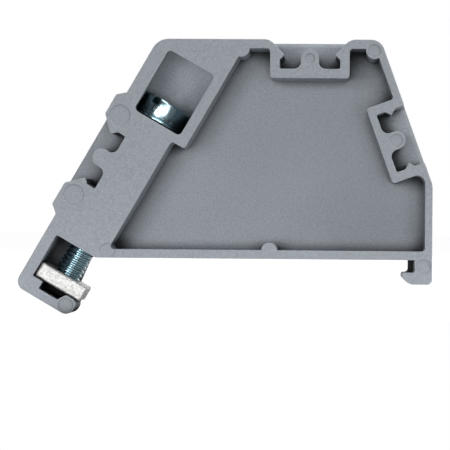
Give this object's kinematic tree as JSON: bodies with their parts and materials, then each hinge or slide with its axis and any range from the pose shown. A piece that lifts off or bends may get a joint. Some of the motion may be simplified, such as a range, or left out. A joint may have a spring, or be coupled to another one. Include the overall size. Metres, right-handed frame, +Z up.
{
  "type": "din rail end stop",
  "caption": "Moulded end stop that hooks on a 35 mm top-hat rail; a slanted screw draws a square nut up against the other rail flange, and grooves on its edges take marker tags.",
  "frame": {"origin": "middle of the rail's top face, under the beam, at mid-thickness", "axes": "+X across the rail towards the hook, +Y along the rail towards the closed back face, +Z up away from the rail"},
  "size_m": [0.0456, 0.0082, 0.0304],
  "materials": {
    "moulding": "fine matt mould texture, cool grey",
    "screw_steel": "blue zinc plate, dark and glossy",
    "nut_steel": "bright, rough-cut edges"
  },
  "bodies": {
    "body": {"stop_body": "moulding"},
    "screw": {"clamp_screw": "screw_steel"},
    "nut": {"clamp_nut": "nut_steel"}
  },
  "joints": [
    {"name": "screw_turn", "type": "hinge", "parent": "body", "child": "screw", "pos_m": [-0.01928, 0, 0], "axis": [-0.5, 0, -0.866], "range_deg": [0, 2268]},
    {"name": "nut_slide", "type": "slide", "parent": "body", "child": "nut", "axis": [0.5, 0, 0.866], "range_m": [0, 0.00315]}
  ],
  "couplings": [
    {"joint": "screw_turn", "follows": "nut_slide", "rad_per_m": 12566}
  ]
}
